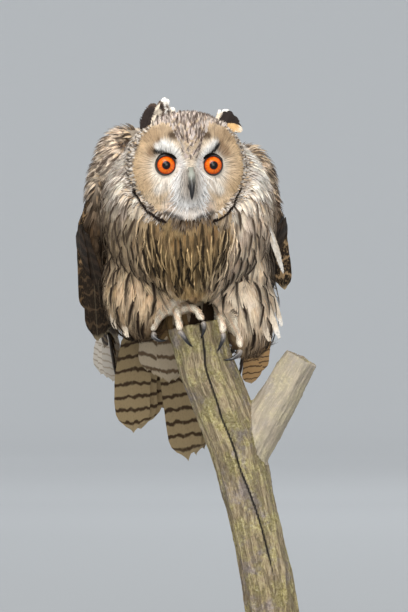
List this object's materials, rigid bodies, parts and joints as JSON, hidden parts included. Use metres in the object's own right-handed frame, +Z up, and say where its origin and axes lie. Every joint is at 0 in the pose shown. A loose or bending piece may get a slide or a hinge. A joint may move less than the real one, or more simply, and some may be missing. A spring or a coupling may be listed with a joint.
{
  "type": "long eared owl",
  "caption": "Long eared owl, life size and still, perched upright on the end of a cut forked branch on a plain round display stand.",
  "frame": {"origin": "centre of the stand base's underside", "axes": "+Z up, the owl faces -Y, its own left side is towards +X"},
  "size_m": [0.21, 0.2849, 0.4581],
  "materials": {
    "streaked_buff_coat": "soft streaked feathering",
    "dark_wing_coat": "soft dark mottled feathering",
    "barred_tail": "soft barred feathering",
    "toe_feathering": "short soft down",
    "dark_horn": "smooth dark horn",
    "orange_iris": "wet gloss",
    "lichened_bark": "rough bark with lichen",
    "rod_steel": "dull steel",
    "oiled_base": "oiled, smooth"
  },
  "bodies": {
    "root": {"head": "streaked_buff_coat", "neck": "streaked_buff_coat", "torso": "streaked_buff_coat", "ear_tuft_left": "dark_wing_coat", "ear_tuft_right": "dark_wing_coat", "eye_left": "orange_iris", "eye_right": "orange_iris", "bill_upper": "dark_horn", "bill_lower": "dark_horn", "wing_left": "dark_wing_coat", "wing_right": "dark_wing_coat", "tail": "barred_tail", "leg_left": "streaked_buff_coat", "leg_right": "streaked_buff_coat", "foot_left": "toe_feathering", "foot_right": "toe_feathering", "talon_left_1": "dark_horn", "talon_left_2": "dark_horn", "talon_left_3": "dark_horn", "talon_left_4": "dark_horn", "talon_right_1": "dark_horn", "talon_right_2": "dark_horn", "talon_right_3": "dark_horn", "talon_right_4": "dark_horn", "perch_branch": "lichened_bark", "stand_rod": "rod_steel", "stand_base": "oiled_base"}
  },
  "joints": []
}
